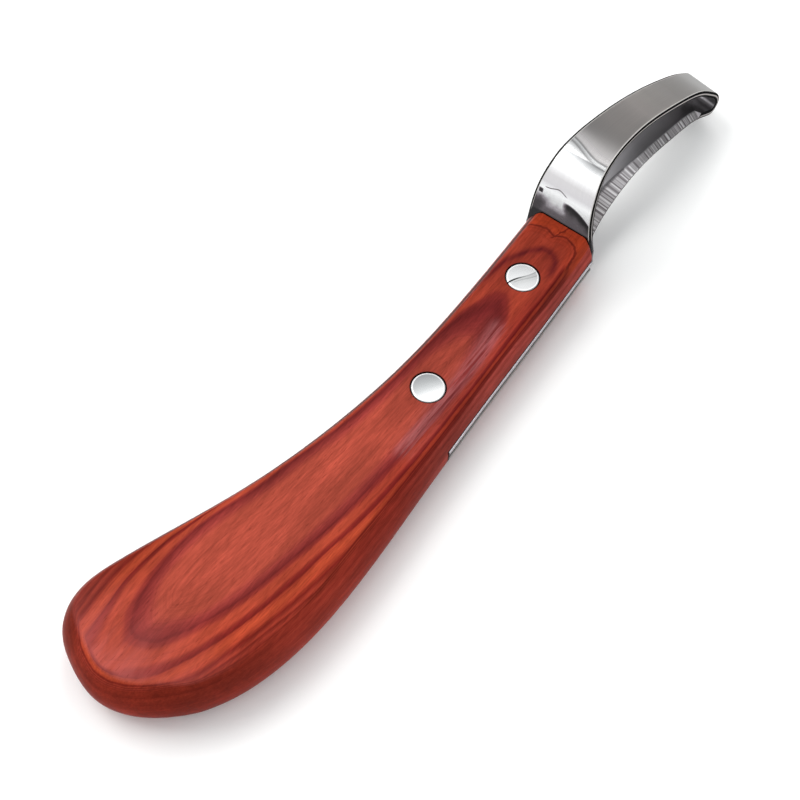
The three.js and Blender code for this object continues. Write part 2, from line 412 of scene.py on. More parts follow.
PLY_THICKNESS = 1.25
spots = positions(handle)
plies_down = np.minimum(THICKNESS - spots[:, 2], spots[:, 2]) / PLY_THICKNESS
give(handle, "ply", ply_at(spots[:, :2]) + np.maximum(plies_down - 0.04, 0))
first_joint = even(FIRST_JOINT, 1.0)
outside = np.where(inside(spots[:, :2], first_joint), -1, 1)
give(handle, "seam", outside * distance(spots[:, :2], first_joint))
give(handle, "arch", arch_at(spots[:, :2]))
sides = (outline_edge(spots[:, 0], 1) + outline_edge(spots[:, 0], -1)) / 2
give(handle, "left", fade(spots[:, 1] - sides, -1, 1))
# Where a painted sheen runs in pale lines beside the rear rivet.
streak_line = np.array([(-16, -5), (0, -4.4), (12, -4.2), (22, -3)], float)
streak_width = 1.9
give(handle, "sheen_streaks", np.exp(-((distance(spots[:, :2], streak_line) / streak_width) ** 2)))
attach(handle, "root")
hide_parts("handle")


# ---- loop blade ---------------------------------------------------------------------

BEND_RADIUS = 1.95
UPPER_Z = MIDDLE + (STRIP_THICKNESS + SLOT_GAP) / 2
LOWER_Z = MIDDLE - (STRIP_THICKNESS + SLOT_GAP) / 2
BEND_START = FRONT - 1.0
# The strip's middle line outside the wood, as (X, Z), from its bend up over the loop and back.
LOOP = [
    (55.95, 10.6), (56.05, 16), (56.35, 23), (57.4, 28.6), (59.6, 33), (63.8, 34.7), (70, 34.3),
    (79, 31.8), (89, 27.7), (99, 22.7), (107.5, 17.5), (113.3, 12.6), (116.3, 9.6),
    (117.6, 7.4), (117.7, 5.6), (116.5, 4.6), (114.2, 5.2), (107.5, 8.5), (98, 10.2), (88, 11.5),
    (78, 10.7), (69, 8.2), (61, 6.9), (56.5, 6.85),
]

# Reach of the strip's edges from its middle line, against distance from the wood.
LEFT_EDGE = [
    (0, 9.2), (10, 8.7), (20, 7.35), (28, 5.85), (38, 5.1), (62, 4.6), (76, 4.15), (94, 4.45), (200, 4.45),
]
RIGHT_EDGE = [
    (0, 9.2), (5, 7.9), (12, 6.85), (20, 6.3), (30, 5.5), (42, 4.75), (60, 4.5), (80, 4.5), (90, 4.9),
    (97, 4.9), (104, 4.45), (200, 4.45),
]
TANG_STATIONS = 90
FACE_STATIONS = 16
EDGE_RADIUS = 0.32
GROUND_EDGE_RADIUS = 0.08
GROUND_EDGE = 0.35
EDGE_BAND = 0.3


def along_curve(points, run):
    """Reads a smooth curve of (distance, value) points at each distance."""
    fine = even(points, 0.5)
    return np.interp(run, fine[:, 0], fine[:, 1])


def strip_path():
    """The strip's middle line as (X, Z) points, from the end of the upper tang to the lower one's."""
    turn = np.linspace(-math.pi / 2, 0, 12)
    bend = np.stack([BEND_START + BEND_RADIUS * np.cos(turn),
                     UPPER_Z + BEND_RADIUS + BEND_RADIUS * np.sin(turn)], axis=1)
    out = np.linspace((TANG_REAR, UPPER_Z), (BEND_START, UPPER_Z), TANG_STATIONS)
    loop = even(LOOP, 0.35, start=(0, 1), end=(-1, 0))
    back = np.linspace((LOOP[-1][0], LOWER_Z), (TANG_REAR, LOWER_Z), TANG_STATIONS)
    return np.concatenate([out, bend[1:], loop[1:], back[1:]])


def strip_section(low, high, ground, bevel_width):
    """One cross-section: (Y, offset from the middle line, bevel, inside, place round the edge)."""
    half = STRIP_THICKNESS / 2
    corner = EDGE_RADIUS * (1 - ground) + GROUND_EDGE_RADIUS * ground
    bevel_drop = ground * (STRIP_THICKNESS - GROUND_EDGE)
    inner_end = low + bevel_width * ground + corner * (1 - ground)
    quarter = [(share, math.sin(share * math.pi / 2), math.cos(share * math.pi / 2))
               for share in np.linspace(0, 1, 5)]
    section = []
    # The inner face, from left to right.
    for q in np.linspace(0, 1, FACE_STATIONS + 1):
        section.append((high - EDGE_RADIUS + q * (inner_end - high + EDGE_RADIUS), -half, 0, 1, 1))
    # The bevel, or the last of the inner face where nothing is ground off.
    for q in np.linspace(0, 1, 6)[1:]:
        y = inner_end + q * (low + corner - inner_end)
        section.append((y, -half + q * bevel_drop, ground, 1, 1))
    # The right edge's inner and outer corners.
    for share, sine, cosine in quarter[1:]:
        offset = bevel_drop - half + corner * (1 - cosine)
        section.append((low + corner * (1 - sine), offset, 0, 1, 1 - 0.3 * share))
    for share, sine, cosine in quarter:
        offset = half - corner * (1 - sine)
        section.append((low + corner * (1 - cosine), offset, 0, 0, 0.35 - 0.32 * share))
    # The outer face, from right to left, with a narrow strip along each edge.
    flat = high - EDGE_RADIUS - low - corner
    for q in [EDGE_BAND / flat, *np.linspace(0, 1, FACE_STATIONS + 1)[1:-1], 1 - EDGE_BAND / flat, 1]:
        section.append((low + corner + q * flat, half, 0, 0, 0.1 if q == 1 else 0))
    # The left edge's outer and inner corners.
    for share, sine, cosine in quarter[1:]:
        offset = half - EDGE_RADIUS * (1 - cosine)
        section.append((high - EDGE_RADIUS * (1 - sine), offset, 0, 0, 0.1 + 0.3 * share))
    for share, sine, cosine in quarter[:-1]:
        offset = -half + EDGE_RADIUS * (1 - sine)
        section.append((high - EDGE_RADIUS * (1 - cosine), offset, 0, 1, 0.7 + 0.3 * share))
    return section


def build_blade():
    path = strip_path()
    run = np.concatenate([[0], np.cumsum(np.linalg.norm(np.diff(path, axis=0), axis=1))])
    direction = np.gradient(path, run, axis=0)
    direction /= np.linalg.norm(direction, axis=1)[:, None]
    outward = np.stack([-direction[:, 1], direction[:, 0]], axis=1)

    nose = path[:, 0].argmax()
    outside_wood = np.flatnonzero(path[:, 0] > FRONT)
    upper_root, lower_root = run[outside_wood[0]], run[outside_wood[-1]]
    # The lower branch flares next to the wood, and the middle line drifts right ahead of the wood.
    heel = 4.8 * np.exp(-((np.maximum(lower_root - run, 0) / 7) ** 1.2))
    middle = 1.2 - 0.036 * np.maximum(path[:, 0] - FRONT, 0)
    left = middle + along_curve(LEFT_EDGE, run - upper_root) + heel
    right = middle - along_curve(RIGHT_EDGE, run - upper_root) - heel
    in_wood = 1 - fade(path[:, 0], FRONT - 0.4, FRONT + 0.8)
    left += in_wood * (outline_edge(path[:, 0], 1) - left)
    right += in_wood * (outline_edge(path[:, 0], -1) - right)

    # A bevel is ground on the inside of the cutting branch's right edge.
    ground = fade(run, run[nose] + 9.5, run[nose] + 10.5)
    ground *= 1 - fade(run, lower_root - 0.5, lower_root + 3)
    bevel_width = 1.8 + 2.6 * fade(run, lower_root - 34, lower_root - 12)
    skew = 0.15 * np.exp(-(((path[:, 0] - 119) / 12) ** 2))
    vertices, marks = [], []
    for i, (x, z) in enumerate(path):
        section = strip_section(right[i], left[i], ground[i], bevel_width[i])
        for y, offset, bevel, inner, rim in section:
            across = y - middle[i]
            vertices.append((x + outward[i, 0] * offset + skew[i] * across, y, z + outward[i, 1] * offset))
            marks.append((run[i] - upper_root, across, bevel, inner, rim))
    size = len(section)
    faces = [tuple(range(size)), tuple((len(path) - 1) * size + c for c in range(size))]
    for r in range(len(path) - 1):
        for c in range(size):
            n = (c + 1) % size
            faces.append((r * size + c, r * size + n, (r + 1) * size + n, (r + 1) * size + c))
    obj = make("loop_blade_steel", vertices, faces, 25, merge=False)
    for name, values in zip(("along", "across", "bevel", "inside", "edge"), np.transpose(marks)):
        give(obj, name, values)
    return obj


blade = build_blade()
hole = [(0, 1), (SHANK_HOLE_RADIUS, 1), (SHANK_HOLE_RADIUS, THICKNESS - 1), (0, THICKNESS - 1)]
cut(blade, [lathe("hole", hole, x) for x in (0, RIVET_SPACING)], 25)
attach(blade, "root")
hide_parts("loop_blade")


# ---- rivets -------------------------------------------------------------------------


DOME_HEIGHT = 0.12
RIM_WIDTH = 0.32
RIM_DROP = 0.30
SHANK_RADIUS = 2.3
BORE_RADIUS = 1.4
PIN_RADIUS = 1.1
PIN_END = THICKNESS - 3.6


def rivet_head(top, sign):
    """Profile of a slightly domed head from its middle out to its rim and under its edge."""
    flat = HEAD_RADIUS - RIM_WIDTH
    dome = [(q * flat, top + sign * DOME_HEIGHT * (1 - q * q)) for q in np.linspace(0, 1, 26)]
    rim = [
        (flat + RIM_WIDTH * math.sin(a), top - sign * RIM_DROP * (1 - math.cos(a)))
        for a in np.linspace(0.25, math.pi / 2, 6)
    ]
    return dome + rim + [(HEAD_RADIUS, top - sign * HEAD_DEPTH)]


def mark_rivet(piece, x, has_reflection_line):
    """Marks the rim for its painted highlight, which way each part of the dome leans for its painted
    reflection, and where its painted reflection line runs.
    """
    spot = positions(piece) - (x, 0, 0)
    radius = np.hypot(spot[:, 0], spot[:, 1])
    give(piece, "rim", fade(radius, HEAD_RADIUS - 0.40, HEAD_RADIUS - 0.30))
    # A painted reflection: darker on one side of the dome.
    tilt = -(0.45 * spot[:, 0] + 0.9 * spot[:, 1]) / HEAD_RADIUS
    give(piece, "tilt", 0.36 + 0.08 * tilt if has_reflection_line else tilt)
    # Where the front rivet's painted reflection line runs.
    far = 9.0
    from_rear = spot[:, 0] + 3.6
    above = spot[:, 1] - (1.9 - 0.52 * from_rear + 0.22 * np.sin(from_rear * 0.9))
    give(piece, "above_reflection_line", np.where((spot[:, 2] > MIDDLE) & has_reflection_line, above, far))
    give(piece, "from_middle", spot[:, 0])


BARREL_PROFILE = rivet_head(THICKNESS, 1) + [
    (SHANK_RADIUS, THICKNESS - HEAD_DEPTH), (SHANK_RADIUS, SEAT_DEPTH + 0.05),
    (SHANK_RADIUS - 0.15, SEAT_DEPTH), (BORE_RADIUS, SEAT_DEPTH),
    (BORE_RADIUS, THICKNESS - HEAD_DEPTH), (0, THICKNESS - HEAD_DEPTH),
]
PIN_PROFILE = rivet_head(0.1, -1) + [
    (PIN_RADIUS, HEAD_DEPTH + 0.1), (PIN_RADIUS, PIN_END - 0.4), (PIN_RADIUS - 0.4, PIN_END), (0, PIN_END),
]
rivets = []
for place, x in (("rear", 0), ("front", RIVET_SPACING)):
    for part, profile in (("barrel", BARREL_PROFILE), ("pin", PIN_PROFILE)):
        piece = lathe(f"{place}_rivet_{part}_steel", profile, x, angle=20)
        mark_rivet(piece, x, place == "front")
        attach(piece, "root")
        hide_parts(f"{place}_rivet_{part}")
        rivets.append(piece)


# ---- materials ----------------------------------------------------------------------


class Nodes:
    """Short ways to add and join the nodes of one material."""

    def __init__(self, name):
        self.material = bpy.data.materials.new(name)
        self.material.use_nodes = True
        self.tree = self.material.node_tree
        self.tree.nodes.clear()
        self.shader = self.tree.nodes.new("ShaderNodeBsdfPrincipled")
        output = self.tree.nodes.new("ShaderNodeOutputMaterial")
        self.tree.links.new(self.shader.outputs[0], output.inputs[0])

    def put(self, socket, value):
        """Links a node's output to a socket, or sets the socket to a number."""
        if isinstance(value, bpy.types.NodeSocket):
            self.tree.links.new(value, socket)
        else:
            socket.default_value = value

    def attribute(self, name):
        node = self.tree.nodes.new("ShaderNodeAttribute")
        node.attribute_name = name
        return node.outputs["Fac"]

    def place(self):
        """X, Y and Z in the model's millimetres."""
        where = self.tree.nodes.new("ShaderNodeTexCoord")
        split = self.tree.nodes.new("ShaderNodeSeparateXYZ")
        self.put(split.inputs[0], where.outputs["Object"])
        return [self.times(self.minus(split.outputs[k], ORIGIN[k]), 1000) for k in range(3)]

    def scaled_place(self, scale):
        where = self.tree.nodes.new("ShaderNodeTexCoord")
        node = self.tree.nodes.new("ShaderNodeMapping")
        self.put(node.inputs["Vector"], where.outputs["Object"])
        node.inputs["Scale"].default_value = scale
        return node.outputs[0]

    def vector(self, x, y):
        node = self.tree.nodes.new("ShaderNodeCombineXYZ")
        self.put(node.inputs[0], x)
        self.put(node.inputs[1], y)
        return node.outputs[0]

    def math(self, operation, a, b=0.0):
        node = self.tree.nodes.new("ShaderNodeMath")
        node.operation = operation
        self.put(node.inputs[0], a)
        self.put(node.inputs[1], b)
        return node.outputs[0]

    def plus(self, a, b):
        return self.math("ADD", a, b)

    def minus(self, a, b):
        return self.math("SUBTRACT", a, b)

    def times(self, first, *others):
        for other in others:
            first = self.math("MULTIPLY", first, other)
        return first

    def most(self, first, *others):
        for other in others:
            first = self.math("MAXIMUM", first, other)
        return first

    def noise(self, vector, detail=2.0, roughness=0.5):
        node = self.tree.nodes.new("ShaderNodeTexNoise")
        self.put(node.inputs["Vector"], vector)
        return self.tuned(node, detail, roughness)

    def noise_along(self, value, detail=2.0, roughness=0.5):
        """Noise that changes only with one number."""
        node = self.tree.nodes.new("ShaderNodeTexNoise")
        node.noise_dimensions = "1D"
        self.put(node.inputs["W"], value)
        return self.tuned(node, detail, roughness)

    def tuned(self, node, detail, roughness):
        node.inputs["Scale"].default_value = 1.0
        node.inputs["Detail"].default_value = detail
        node.inputs["Roughness"].default_value = roughness
        return node.outputs["Fac"]

    def ramp(self, value, low, high, to_low=0.0, to_high=1.0):
        """A smooth step from to_low at low to to_high at high; low may be the larger of the two."""
        node = self.tree.nodes.new("ShaderNodeMapRange")
        node.interpolation_type = "SMOOTHSTEP"
        for socket, v in zip(node.inputs, (value, low, high, to_low, to_high)):
            self.put(socket, v)
        return node.outputs[0]

    def line(self, offset, core, reach, amount=1.0):
        """A line: the full amount where the offset from it is within core, none past reach."""
        return self.ramp(self.math("ABSOLUTE", offset), core, reach, amount, 0.0)

    def gray(self, value):
        node = self.tree.nodes.new("ShaderNodeCombineColor")
        for socket in node.inputs[:3]:
            self.put(socket, value)
        return node.outputs[0]

    def colors(self, value, stops):
        """A colour ramp; stops are (value, linear RGB)."""
        low, high = stops[0][0], stops[-1][0]
        share = self.math("DIVIDE", self.minus(value, low), high - low)
        node = self.tree.nodes.new("ShaderNodeValToRGB")
        self.put(node.inputs[0], share)
        ramp = node.color_ramp
        for _ in stops[2:]:
            ramp.elements.new(0.5)
        for element, (at, color) in zip(ramp.elements, stops):
            element.position = (at - low) / (high - low)
            element.color = (*color, 1)
        return node.outputs[0]

    def mix(self, share, a, b, blend="MIX"):
        node = self.tree.nodes.new("ShaderNodeMix")
        node.data_type = "RGBA"
        node.blend_type = blend
        self.put(node.inputs["Factor"], share)
        for socket, value in ((node.inputs[6], a), (node.inputs[7], b)):
            self.put(socket, value if isinstance(value, bpy.types.NodeSocket) else (*value, 1))
        return node.outputs[2]

    def tint(self, a, b, share=1.0):
        """Colour a multiplied by colour b."""
        return self.mix(share, a, b, "MULTIPLY")

    def bump(self, height, distance, strength=1.0):
        node = self.tree.nodes.new("ShaderNodeBump")
        self.put(node.inputs["Height"], height)
        node.inputs["Distance"].default_value = distance
        node.inputs["Strength"].default_value = strength
        self.put(self.shader.inputs["Normal"], node.outputs[0])


def linear(r, g, b):
    """sRGB 0..255 to linear."""
    return tuple(((v / 255 + 0.055) / 1.055) ** 2.4 if v > 10 else v / 255 / 12.92 for v in (r, g, b))


def wood_face(n, ply, x, y, patch, streak):
    """Colour of the sanded faces, from which ply shows."""
    face = n.colors(ply, [(at, linear(*color)) for at, color in (
        (-2.0, (174, 70, 52)), (-0.9, (174, 70, 52)), (-0.45, (150, 54, 46)), (-0.08, (122, 38, 35)),
        (0.12, (140, 46, 37)), (0.32, (176, 66, 44)), (0.66, (172, 63, 42)), (0.86, (130, 36, 29)),
        (1.0, (112, 28, 23)), (1.13, (164, 57, 36)), (1.4, (180, 67, 40)), (1.72, (166, 57, 36)),
        (1.94, (112, 27, 20)), (2.08, (142, 46, 32)), (2.2, (148, 49, 33)), (2.29, (114, 31, 22)),
        (2.38, (142, 46, 32)), (2.54, (140, 45, 31)), (2.62, (114, 32, 23)), (2.72, (138, 44, 30)),
        (3.0, (116, 31, 20)),
    )])
    # Ahead of the front rivet the first joint is only a fine wandering line with one fork.
    seam = n.attribute("seam")
    ahead = n.times(n.ramp(x, 43, 47), n.ramp(ply, 0.35, 0.55))
    pale = n.mix(n.ramp(seam, -0.6, 1.2), linear(170, 60, 38), linear(186, 66, 36))
    face = n.mix(ahead, face, pale)
    wander = n.times(n.minus(n.noise(n.scaled_place((420, 420, 420)), 2.0, 0.6), 0.5), 1.5)
    joint = n.times(n.line(n.plus(seam, wander), 0.08, 0.42, 0.72), n.ramp(patch, 0.3, 0.6, 0.6, 1.0))
    fork_y = n.plus(n.times(n.minus(x, 50), -0.42), 1.1)
    fork = n.line(n.minus(n.plus(y, wander), fork_y), 0.08, 0.32, 0.7)
    fork = n.times(fork, n.ramp(x, 49.6, 50.6))
    face = n.mix(n.times(n.most(joint, fork), ahead), face, linear(90, 22, 18))
    peak = n.times(n.attribute("arch"), n.ramp(streak, 0.3, 0.65, 1.0, 0.72))
    face = n.mix(peak, face, linear(106, 28, 30))
    # The right flank is duller, and beside the rear rivet a painted sheen breaks it up into pale purplish
    # streaking.
    flank = n.times(n.ramp(y, -3, -6), n.ramp(x, -40, -15), n.ramp(x, 48, 30))
    face = n.tint(face, (0.84, 0.7, 0.82), n.times(flank, 0.85))
    # Painted sheen, broken into pale purplish threads.
    threads = n.ramp(n.noise(n.scaled_place((60, 1300, 1300)), 3.0, 0.7), 0.36, 0.6, 0.1, 1.0)
    return n.mix(n.times(n.attribute("sheen_streaks"), threads, 0.64), face, linear(186, 104, 98))


def wood_side(n, ply, x, z):
    """Colour of the sides, where the plies show edge on as faint bands, painted lighter towards the lower
    edge as a painted reflection of the floor and towards the front as a painted sheen.
    """
    side = n.mix(n.ramp(x, -38, -50), linear(146, 46, 33), linear(158, 52, 37))
    # Painted reflection of the floor: lighter towards the lower edge.
    side = n.mix(n.ramp(z, 13.5, 5.0), side, linear(178, 54, 38))
    # Painted sheen: lighter towards the front.
    side = n.mix(n.ramp(x, -30, 10), side, linear(186, 74, 60))
    tone = n.noise_along(n.times(ply, 1.15), 0.0, 0.5)
    side = n.mix(n.ramp(tone, 0.35, 0.65, 0.0, 0.3), side, linear(112, 28, 19))
    from_joint = n.math("ABSOLUTE", n.minus(n.math("FRACT", ply), 0.5))
    side = n.mix(n.ramp(from_joint, 0.4, 0.5, 0.0, 0.22), side, linear(66, 13, 9))
    return n.tint(side, (0.62, 0.56, 0.46), n.ramp(x, -60, -88, 0.0, 0.8))


def wood_shade_lines(n, color, x, y, z):
    """Painted shade: dark lines under the left arris, round each rivet and above and below the slot."""
    # Painted shade under the left arris.
    arris_shade = n.times(
        n.ramp(z, THICKNESS - 0.75, THICKNESS - 1.1), n.ramp(z, THICKNESS - 2.7, THICKNESS - 2.0),
        n.attribute("left"), n.ramp(x, -84, -70, 0.0, 0.9),
    )
    color = n.mix(arris_shade, color, linear(40, 9, 7))
    # Painted shade round each rivet's recess.
    for centre in (0.0, RIVET_SPACING):
        off = n.minus(x, centre)
        radius = n.math("SQRT", n.plus(n.times(off, off), n.times(y, y)))
        rivet_shade = n.ramp(radius, HEAD_RADIUS + 0.26, HEAD_RADIUS + 0.42, 0.95, 0.0)
        color = n.mix(rivet_shade, color, linear(24, 8, 8))
    # Painted shade in the gaps above and below the slot, where the tangs enter.
    from_slot = n.minus(n.math("ABSOLUTE", n.minus(z, MIDDLE)), SLOT_HEIGHT / 2)
    slot_shade = n.times(n.ramp(from_slot, 0.25, 0.5, 0.93, 0.0), n.ramp(x, SLOT_REAR - 0.5, SLOT_REAR))
    return n.mix(slot_shade, color, linear(34, 8, 8))


def wood():
    n = Nodes("laminated_wood")
    x, y, z = n.place()
    drift = n.noise(n.scaled_place((26, 100, 40)), 2.0, 0.5)
    patch = n.noise(n.scaled_place((55, 190, 190)), 3.0, 0.6)
    cloud = n.noise(n.scaled_place((24, 95, 95)), 2.0, 0.5)
    streak = n.noise(n.scaled_place((40, 520, 520)), 3.0, 0.6)
    fine = n.noise(n.scaled_place((260, 2300, 2300)), 3.0, 0.65)
    ply = n.plus(n.attribute("ply"), n.times(n.minus(drift, 0.5), 0.42))
    ply = n.plus(ply, n.times(n.minus(streak, 0.5), 0.24))
    face = wood_face(n, ply, x, y, patch, streak)
    color = n.mix(n.ramp(ply, 2.5, 3.1), face, wood_side(n, ply, x, z))
    rings = n.noise_along(n.times(ply, 7.0), 2.0, 0.6)
    shade = n.times(
        n.ramp(fine, 0.25, 0.75, 0.79, 1.13), n.ramp(streak, 0.25, 0.75, 0.88, 1.09),
        n.ramp(patch, 0.3, 0.7, 0.84, 1.06), n.ramp(cloud, 0.35, 0.62, 0.84, 1.03),
        n.ramp(rings, 0.3, 0.6, 0.87, 1.04),
    )
    color = n.tint(color, n.gray(shade))
    # The wood is a shade deeper towards the blade, and at the palm end its upper face is painted paler and
    # more purple as a painted sheen.
    color = n.tint(color, (0.80, 0.74, 0.78), n.times(n.ramp(x, -42, 24), 0.9))
    # Painted sheen on the upper face at the palm end.
    palm_sheen = n.times(n.ramp(x, -70, -100), n.ramp(patch, 0.35, 0.65, 0.25, 0.6), n.ramp(z, 14.5, 15.3))
    color = n.mix(palm_sheen, color, linear(186, 92, 84))
    pores = n.ramp(n.noise(n.scaled_place((420, 5200, 5200)), 1.0, 0.5), 0.64, 0.74)
    color = n.mix(n.times(pores, 0.35), color, linear(78, 16, 12))
    color = n.tint(wood_shade_lines(n, color, x, y, z), (1.0, 1.15, 1.25))
    n.put(n.shader.inputs["Base Color"], color)
    n.put(n.shader.inputs["Roughness"], n.ramp(fine, 0.2, 0.8, 0.34, 0.44))
    n.shader.inputs["Specular IOR Level"].default_value = 0.02
    n.bump(n.minus(fine, n.times(pores, 0.6)), 0.00003, 0.4)
    return n.material


def steel_reflections_and_marks(n, along, across):
    """Painted dark reflections of the wood in patches next to it, with one speck and one fine curved
    scratch above them.
    """
    cloud = n.vector(n.times(along, 0.35), n.times(across, 0.55))
    smear = n.minus(n.noise(cloud, 2.0, 0.5), 0.5)
    reach = n.plus(along, n.times(smear, 3.0))
    beside = n.plus(across, n.times(smear, 1.6))
    # Painted reflection of the wood: dark patches fading out from the root.
    wood_reflection = n.ramp(reach, 8.0, 12.6, 0.56, 0.0)
    root = n.ramp(along, 6.4, 8.6, 0.84, 0.0)
    left_patch = n.times(n.ramp(beside, 2.8, 6.8, 0.0, 0.72), n.ramp(reach, 10.0, 13.6, 1.0, 0.0))
    slant = n.plus(along, n.times(across, across, 0.07))
    right_patch = n.times(n.ramp(beside, 1.3, -0.6, 0.0, 0.94), n.ramp(slant, 13.3, 14.0, 1.0, 0.0))
    right_patch = n.times(right_patch, n.ramp(n.minus(slant, n.times(smear, 3.0)), 10.0, 13.2, 0.62, 1.0))
    speck = n.times(n.ramp(across, 6.3, 6.7), n.ramp(across, 7.7, 7.4))
    speck = n.times(n.line(n.minus(along, 13.6), 0.4, 0.9, 0.85), speck)
    off = n.math("DIVIDE", n.minus(across, 2.6), 1.9)
    hump = n.math("EXPONENT", n.times(off, off, -1.0))
    curve = n.minus(along, n.plus(n.times(hump, 1.15), 15.2))
    scratch = n.times(n.line(curve, 0.06, 0.2, 0.75), n.ramp(across, 0.1, 1.0), n.ramp(across, 6.3, 5.6))
    return n.colors(n.most(wood_reflection, root, left_patch, right_patch, speck, scratch), [
        (0.0, (1.0, 1.0, 1.0)), (0.25, (0.60, 0.56, 0.59)), (0.5, (0.22, 0.195, 0.21)),
        (0.8, (0.065, 0.06, 0.062)), (1.0, (0.028, 0.027, 0.027)),
    ])


def steel_outside(n, along, rise):
    """The outer face: polished as far as a faint S-shaped crease, then duller towards the nose; its tones
    are painted reflections, with bright bands on the polish, a dark and a light painted line at the
    crease, painted shade deepening towards the nose and a painted highlight line at the nose.
    """
    # Painted reflection: bright bands on the polish.
    polish = n.colors(along, [
        (10, (0.95,) * 3), (15.0, (0.93,) * 3), (16.8, (0.66, 0.645, 0.66)), (19.4, (0.68, 0.665, 0.67)),
        (22.0, (0.97,) * 3), (30, (0.97,) * 3),
    ])
    # Painted reflection and shade past the crease, with a painted highlight line at the nose.
    beyond = n.colors(rise, [
        (20, (1.0,) * 3), (23.2, (1.0,) * 3), (25.7, (0.40,) * 3), (26.05, (0.10,) * 3),
        (26.45, (0.58,) * 3), (26.85, (0.14,) * 3), (27.3, (0.50, 0.48, 0.475)),
        (31, (0.42, 0.40, 0.39)), (38, (0.55, 0.512, 0.49)), (48, (0.56, 0.515, 0.492)),
        (56, (0.345, 0.318, 0.303)), (65, (0.205, 0.19, 0.181)), (75, (0.14, 0.13, 0.124)),
        (88, (0.10, 0.095, 0.09)), (90, (0.10, 0.097, 0.092)), (91.4, (0.4,) * 3), (92.8, (0.16,) * 3),
        (100, (0.16,) * 3),
    ])
    return n.tint(polish, beyond)


def steel_bevel(n, along, mark):
    """Coarse grinding marks across the bevel, darker towards the wood."""
    ground = n.colors(mark, [
        (0.3, (0.22, 0.20, 0.21)), (0.5, (0.46, 0.44, 0.45)), (0.7, (0.88, 0.86, 0.87)),
    ])
    return n.tint(ground, (0.5, 0.49, 0.48), n.ramp(along, 128, 146, 0.0, 0.8))


def steel_tangs(n, along, edge):
    """The two tangs' edges where they show along the handle, painted as reflection and shade: the upper
    edge bright, the lower one darker, both black at the faces inside the slot.
    """
    upper = n.colors(edge, [
        (0.0, (0.9, 0.87, 0.93)), (0.5, (0.74, 0.69, 0.74)), (0.7, (0.42, 0.41, 0.41)),
        (0.86, (0.03,) * 3), (1.0, (0.03,) * 3),
    ])
    lower = n.colors(edge, [
        (0.0, (0.5, 0.48, 0.47)), (0.12, (0.10,) * 3), (0.3, (0.24, 0.235, 0.22)),
        (0.75, (0.17, 0.165, 0.155)), (0.86, (0.03,) * 3), (1.0, (0.03,) * 3),
    ])
    return n.mix(n.ramp(along, 40, 60), upper, lower)


def steel():
    n = Nodes("blade_steel")
    along, across, bevel, inner, edge = (
        n.attribute(k) for k in ("along", "across", "bevel", "inside", "edge"))
    brush = n.noise(n.vector(n.times(along, 0.06), n.times(across, 5.0)), 3.0, 0.6)
    rise = n.minus(along, n.times(n.ramp(across, -3.5, 6.5), 2.4))
    color = n.tint(steel_reflections_and_marks(n, along, across), steel_outside(n, along, rise))
    # Painted shade: the inner face is darker than the outer one.
    color = n.mix(inner, color, (0.27, 0.262, 0.27))
    color = n.tint(color, n.gray(n.ramp(brush, 0.3, 0.7, 0.96, 1.03)))
    # The grinding marks stand closer together towards the wood.
    pitch = n.times(n.math("POWER", n.most(n.minus(162, along), 0), 0.8), 3.4)
    mark = n.noise_along(pitch, 1.0, 0.7)
    color = n.mix(bevel, color, steel_bevel(n, along, mark))
    # The rounded edges are painted with dark and bright lines round the turn, a painted reflection.
    rim = n.colors(edge, [
        (0.0, (0.6, 0.58, 0.55)), (0.03, (0.7, 0.68, 0.65)), (0.06, (0.015,) * 3), (0.42, (0.012,) * 3),
        (0.47, (0.6, 0.56, 0.54)), (0.55, (0.5, 0.47, 0.46)), (0.60, (0.012,) * 3), (0.95, (0.02,) * 3),
        (1.0, (0.02,) * 3),
    ])
    on_loop = n.times(n.ramp(along, 5, 7), n.ramp(along, 156, 153))
    on_rim = n.times(n.ramp(edge, 0.0, 0.03), n.ramp(edge, 1.0, 0.97), n.ramp(bevel, 0.0, 0.05, 1.0, 0.0))
    scale = n.times(on_rim, on_loop)
    color = n.mix(scale, color, rim)
    # Painted reflection and shade on the tangs inside the handle.
    in_wood = n.minus(1, n.times(n.ramp(along, -1, 1), n.ramp(along, 160, 158)))
    color = n.mix(in_wood, color, steel_tangs(n, along, edge))
    n.put(n.shader.inputs["Base Color"], color)
    # The painted edge lines are not metallic.
    n.put(n.shader.inputs["Metallic"], n.minus(1.0, scale))
    n.shader.inputs["Specular IOR Level"].default_value = 0.0
    n.put(n.shader.inputs["Roughness"], n.ramp(rise, 24, 32, 0.2, 0.32))
    # The polish rolls the rise back a little, so it mirrors the room and not the wood.
    height = n.times(n.math("MINIMUM", along, 26), -0.00055)
    height = n.plus(height, n.times(brush, 0.000006))
    height = n.plus(height, n.times(mark, bevel, 0.00008))
    n.bump(height, 1.0)
    return n.material


